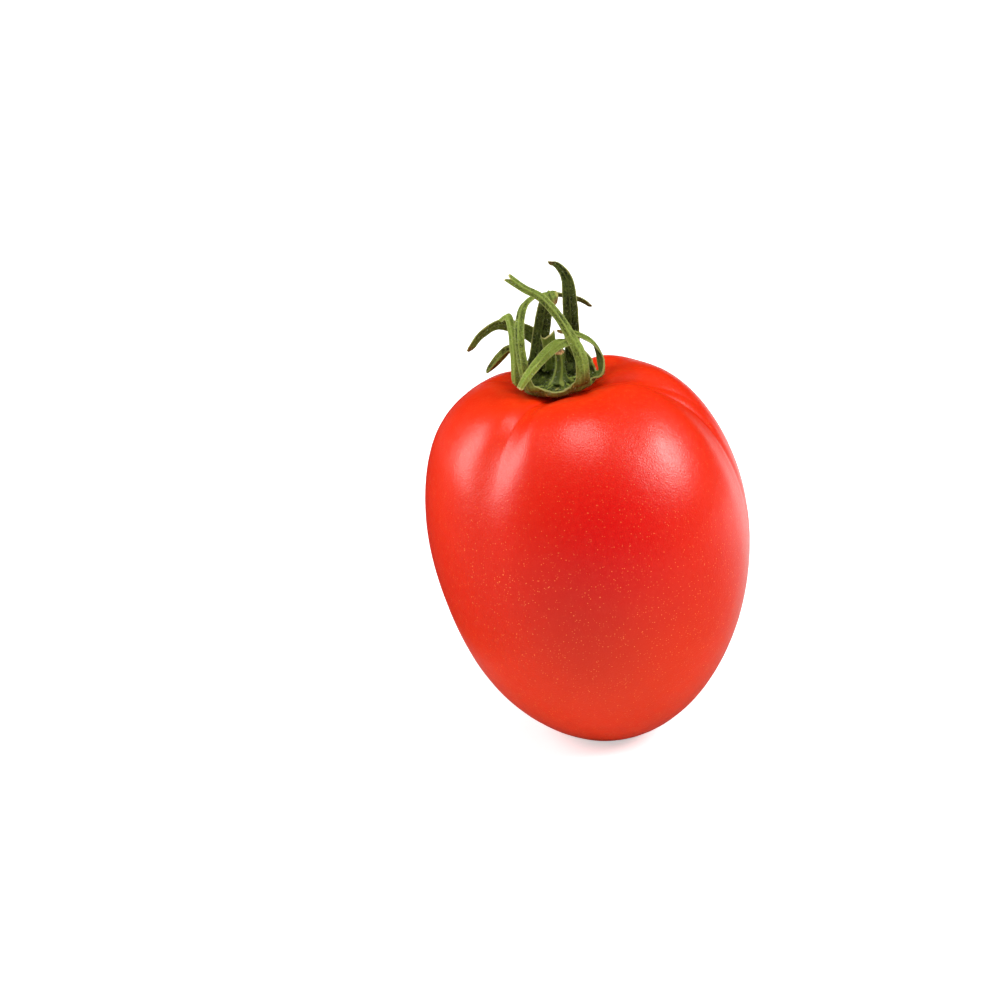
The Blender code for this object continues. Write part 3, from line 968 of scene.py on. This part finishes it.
def buildLeaf(spec):
    material, w, shader, coords = startMaterial(
        "sepalLeaf", Subsurface_Weight=0.08, Subsurface_Scale=0.0005, Subsurface_Radius=(0.6, 1.0, 0.15),
        IOR=1.24)
    across, along, edge, brown, tone, pale, inner = (w.attribute(name) for name in (*Sheet.fields, "inner"))
    fromMiddle = w.calc("ABSOLUTE", across)
    # Side veins leave the midrib at a slant.
    slanted = w.join(X=across, Y=w.timesAdd(fromMiddle, spec["slant"], along))
    mottle = w.group(mottleGroup, Vector=coords, Cloud_Scale=430.0, Grain_Scale=2400.0, Grain_Share=0.9)
    coarse = w.group(veinGroup, Vector=slanted, Mesh_Size=0.62, Stretch=2.0, Line=0.10)["Mask"]
    fine = w.group(veinGroup, Vector=slanted, Mesh_Size=0.30, Stretch=1.4, Line=0.16)["Mask"]
    # Two dark bands beside the pale midrib
    band = w.times(w.bell(w.less(fromMiddle, spec["bandAt"]), spec["bandWidth"]), spec["bandShade"])
    shade = w.add(w.add(tone, band), w.times(mottle["Both"], spec["mottleShade"]))
    colour = w.blend(shade, spec["light"], spec["dark"])
    coarseNet, fineNet = spec["nets"]
    colour = w.blend(w.timesAdd(coarse, coarseNet, w.times(fine, fineNet)), colour, spec["vein"])
    broken = w.ramp(mottle["Cloud"], -0.7, 0.7, 0.08, 0.62)
    colour = w.blend(w.times(w.bell(across, spec["midribWidth"]), broken), colour, spec["vein"])
    # Painted shade on the inner face, full on the darker sepals
    dim = w.timesAdd(w.times(inner, w.ramp(tone, 0.0, 0.15)), spec["innerShade"] - 1.0, 1.0)
    colour = w.blend(1.0, colour, w.grey(dim), "MULTIPLY")
    # Brown stain, olive at the base and dry at the tips
    stain = w.add(brown, w.times(mottle["Cloud"], 0.25))
    stain = w.times(w.ramp(stain, 0.15, 0.95), w.calc("GREATER_THAN", brown, 0.01))
    stainColour = w.blend(w.ramp(along, *spec["oliveToDry"]), spec["olive"], spec["dryBrown"])
    colour = w.blend(w.times(stain, spec["stainShare"]), colour, stainColour)
    # Short dry scars along the blade
    stretched = w.join(X=across, Y=w.times(along, spec["scarStretch"]))
    scars = w.group(speckGroup, Vector=stretched, Spacing=0.95, Size=0.26, Share=0.5)["Mask"]
    colour = w.blend(w.times(scars, spec["scarShare"]), colour, spec["scar"])
    rimLine = w.ramp(edge, *spec["marginEdge"], 1.0, 0.0)
    colour = w.blend(w.times(rimLine, spec["marginShare"]), colour, spec["margin"])
    colour = w.blend(w.times(pale, spec["paleShare"]), colour, spec["paleDry"])
    w.fill(shader, Base_Color=colour, Roughness=w.timesAdd(mottle["Grain"], 0.06, spec["roughness"]))
    height = w.timesAdd(coarse, 0.6, w.times(fine, 0.4))
    w.bump(shader, (height, 0.00007, 0.9), (mottle["Both"], 0.00004, 0.8))
    return material


leaf = buildLeaf(leafSpec)
calyx = buildCalyx(calyxSpec, stalkPlace, leaf)
print("calyx:", len(calyx.data.polygons), "faces")


# Stalk: a ribbed stub with a broken tip

stalkSpec = {
    # x, z and radius along its middle; the foot stands in the pit and spreads onto the cup
    "profile": ((0.0, -1.45, 1.25), (0.0, 0.6, 1.32), (0.0, 1.35, 1.45), (0.0, 1.75, 1.85), (0.05, 2.4, 1.42),
                (0.3, 3.7, 1.02), (0.6, 5.4, 0.82), (0.75, 6.7, 0.82), (0.8, 7.2, 0.68)),
    "sides": 60,
    "step": 0.16,
    "ribs": 5,
    "ribHeight": 0.12,
    "ribsFrom": 1.0,
    # roots run out onto the cup: reach, height, half width, turn, drop
    "roots": (0.75, 1.6, 0.42, 0.4, 0.35),
    "footSwell": 0.10,
    "uneven": 0.05,
    # length and height of the rough tip
    "roughTip": (0.8, 0.45),
    # the broken end sinks in a little: share of its width, drop
    "breakRings": ((0.82, 0.02), (0.55, -0.10), (0.25, -0.22)),
}


def buildStalk(spec, place, material):
    points = smoothPath([Vector((x, 0.0, z, radius)) for x, z, radius in spec["profile"]], spec["step"])
    sides = spec["sides"]
    rootReach, rootAt, rootWidth, rootTurn, rootDrop = spec["roots"]
    roughLength, roughHeight = spec["roughTip"]
    bm = bmesh.new()
    layers = bm.verts.layers.float
    tipLayer, turnLayer, heightLayer = (layers.new(name) for name in ("tip", "turn", "alongMm"))
    top = points[-1].z

    def addPoint(spot, tip, turn, height):
        vert = bm.verts.new(spot)
        vert[tipLayer] = tip
        vert[turnLayer] = turn
        vert[heightLayer] = height
        return vert

    rings = []
    for station in points:
        ring = []
        spread = hump(station.z - rootAt, rootWidth)
        near = easeIn((station.z - (top - roughLength)) / roughLength)
        for index in range(sides):
            angle = 2.0 * math.pi * index / sides
            x, y = math.cos(angle), math.sin(angle)
            ridge = abs(math.cos(0.5 * spec["ribs"] * angle + 0.35 * math.sin(station.z)))
            radius = station.w + spec["ribHeight"] * (ridge - 0.6) * easeIn(station.z - spec["ribsFrom"])
            root = max(0.0, math.cos(spec["ribs"] * angle + rootTurn)) ** 3
            radius += rootReach * spread * root + spec["footSwell"] * spread
            radius += spec["uneven"] * noise.noise(Vector((3.0 * x, 3.0 * y, station.z * 1.5)))
            height = station.z - rootDrop * spread * root
            height += near * roughHeight * noise.noise(Vector((2.0 * x, 2.0 * y, 9.0)))
            spot = Vector((station.x + radius * x, radius * y, height))
            ring.append(addPoint(spot, near, ridge, station.z))
        rings.append(ring)
    centre = Vector((points[-1].x, 0.0, 0.0))
    edge = rings[-1]
    for share, drop in spec["breakRings"]:
        ring = []
        for vert in edge:
            flat = Vector((vert.co.x, vert.co.y, 0.0)) - centre
            lift = 0.10 * noise.noise(Vector((flat.x * 3.0 * share, flat.y * 3.0 * share, 5.0)))
            spot = Vector((centre.x + flat.x * share, flat.y * share, vert.co.z + drop + lift))
            ring.append(addPoint(spot, 1.3, 0.5, top))
        rings.append(ring)
    for lower, upper in zip(rings, rings[1:]):
        for (a, b), (c, d) in zip(neighbours(lower), neighbours(upper)):
            bm.faces.new((a, b, d, c))
    for ring, tip in ((rings[0], 0.0), (rings[-1], 1.3)):
        middle = addPoint(sum((vert.co for vert in ring), Vector()) / sides, tip, 0.0, 0.0)
        for a, b in neighbours(ring):
            bm.faces.new((a, b, middle) if tip else (b, a, middle))
    for vert in bm.verts:
        vert.co = place @ (vert.co * mm)
    mesh = bpy.data.meshes.new("stalk_stub")
    bm.to_mesh(mesh)
    bm.free()
    mesh.shade_smooth()
    mesh.materials.append(material)
    return addObject("stalk_stub", mesh)


stemSpec = {
    "green": (0.105, 0.145, 0.014),
    "dark": (0.030, 0.045, 0.005),
    "rib": (0.27, 0.32, 0.045),
    "break": (0.55, 0.30, 0.12),
    "roughness": 0.6,
}


def buildStem(spec):
    material, w, shader, coords = startMaterial(
        "stalkBark", Subsurface_Weight=0.1, Subsurface_Scale=0.0006, IOR=1.38)
    mottle = w.group(mottleGroup, Vector=coords, Cloud_Scale=420.0, Grain_Scale=3000.0, Grain_Share=0.5)
    colour = w.blend(w.timesAdd(mottle["Both"], 0.3, 0.35), spec["green"], spec["dark"])
    ridge = w.ramp(w.attribute("turn"), 0.7, 1.0)
    colour = w.blend(w.times(ridge, 0.7), colour, spec["rib"])
    broken = w.ramp(w.timesAdd(mottle["Cloud"], 0.2, w.attribute("tip")), 0.25, 0.8)
    colour = w.blend(broken, colour, spec["break"])
    w.fill(shader, Base_Color=colour, Roughness=w.timesAdd(mottle["Grain"], 0.06, spec["roughness"]))
    w.bump(shader, (mottle["Both"], 0.00008, 0.6))
    return material


stem = buildStem(stemSpec)
stalk = buildStalk(stalkSpec, stalkPlace, stem)
print("stalk:", len(stalk.data.polygons), "faces")


# Fine hairs on the calyx and the stalk

hairSpec = {
    # hairs per square metre, length and radius in metres, tilt, and how much their lengths differ
    "calyx_hairs": {"Density": 1.6e6, "Length": 0.00040, "Radius": 0.000017, "Lean": 0.8,
                    "Shortest": 0.45, "Longest": 1.25, "Seed": 11},
    "stalk_hairs": {"Density": 2.6e6, "Length": 0.00046, "Radius": 0.000020, "Lean": 0.5,
                    "Shortest": 0.45, "Longest": 1.25, "Seed": 23},
}
hairColours = {"shade": (0.46, 0.52, 0.28), "light": (0.72, 0.75, 0.56)}


def buildHair(shade, light):
    material, w, shader, coords = startMaterial("paleHair", Roughness=0.4, IOR=1.45, Subsurface_Weight=0.0)
    mottle = w.group(mottleGroup, Vector=coords, Cloud_Scale=500.0, Grain_Scale=2000.0, Grain_Share=0.3)
    w.fill(shader, Base_Color=w.blend(w.timesAdd(mottle["Both"], 0.25, 0.5), shade, light))
    return material


def buildHairTree():
    w, inside, outside = newGroup(
        "plantHairs", "GeometryNodeTree",
        {"Geometry": "Geometry", "Density": 1e6, "Length": 0.0005, "Radius": 0.00002, "Lean": 0.6,
         "Shortest": 0.45, "Longest": 1.25, "Seed": 1, "Hair": "Material"},
        {"Geometry": "Geometry"})
    seed = inside["Seed"]
    scatter = w.node("GeometryNodeDistributePointsOnFaces", distribute_method="RANDOM")
    w.fill(scatter, Mesh=inside["Geometry"], Density=inside["Density"], Seed=seed)
    cone = w.node("GeometryNodeMeshCone", fill_type="NGON")
    w.fill(cone, Vertices=3, Side_Segments=1, Radius_Top=0.0, Radius_Bottom=inside["Radius"],
           Depth=inside["Length"])
    lean = inside["Lean"]
    less = w.times(lean, -1.0)
    tilt = w.node("FunctionNodeRandomValue", data_type="FLOAT_VECTOR")
    w.fill(tilt, Min=w.join(X=less, Y=less), Max=w.join(X=lean, Y=lean), Seed=seed)
    turn = w.node("FunctionNodeRotateRotation", rotation_space="LOCAL")
    w.fill(turn, Rotation=scatter.outputs["Rotation"], Rotate_By=tilt.outputs[0])
    # Inputs 2 and 3 are the plain numbers' Min and Max; other kinds share their names.
    grow = w.node("FunctionNodeRandomValue", data_type="FLOAT")
    w.feed(grow.inputs[2], inside["Shortest"])
    w.feed(grow.inputs[3], inside["Longest"])
    w.fill(grow, Seed=seed)
    put = w.node("GeometryNodeInstanceOnPoints")
    w.fill(put, Points=scatter.outputs["Points"], Instance=cone.outputs["Mesh"], Rotation=turn.outputs[0],
           Scale=grow.outputs[1])
    w.feed(outside["Geometry"], w.coat(put.outputs[0], inside["Hair"]))
    return w.tree


hair = buildHair(**hairColours)
hairTree = buildHairTree()
hairPieces = []
for label, source in (("calyx_hairs", calyx), ("stalk_hairs", stalk)):
    made = bakeNodes(label, hairTree, {**hairSpec[label], "Hair": hair}, source)
    hairPieces.append(made)
    print(label + ":", len(made.data.polygons), "faces")


# Each piece hangs from the root body, and the CAD part it replaces is hidden

for piece, node, slot in ((fruit, "fruit", "skin"), (calyx, "calyx", "sepal"), (stalk, "stalk", "stem")):
    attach(piece, "root")
    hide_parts(node)
for piece, slot in zip(hairPieces, ("sepal", "stem")):
    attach(piece, "root")
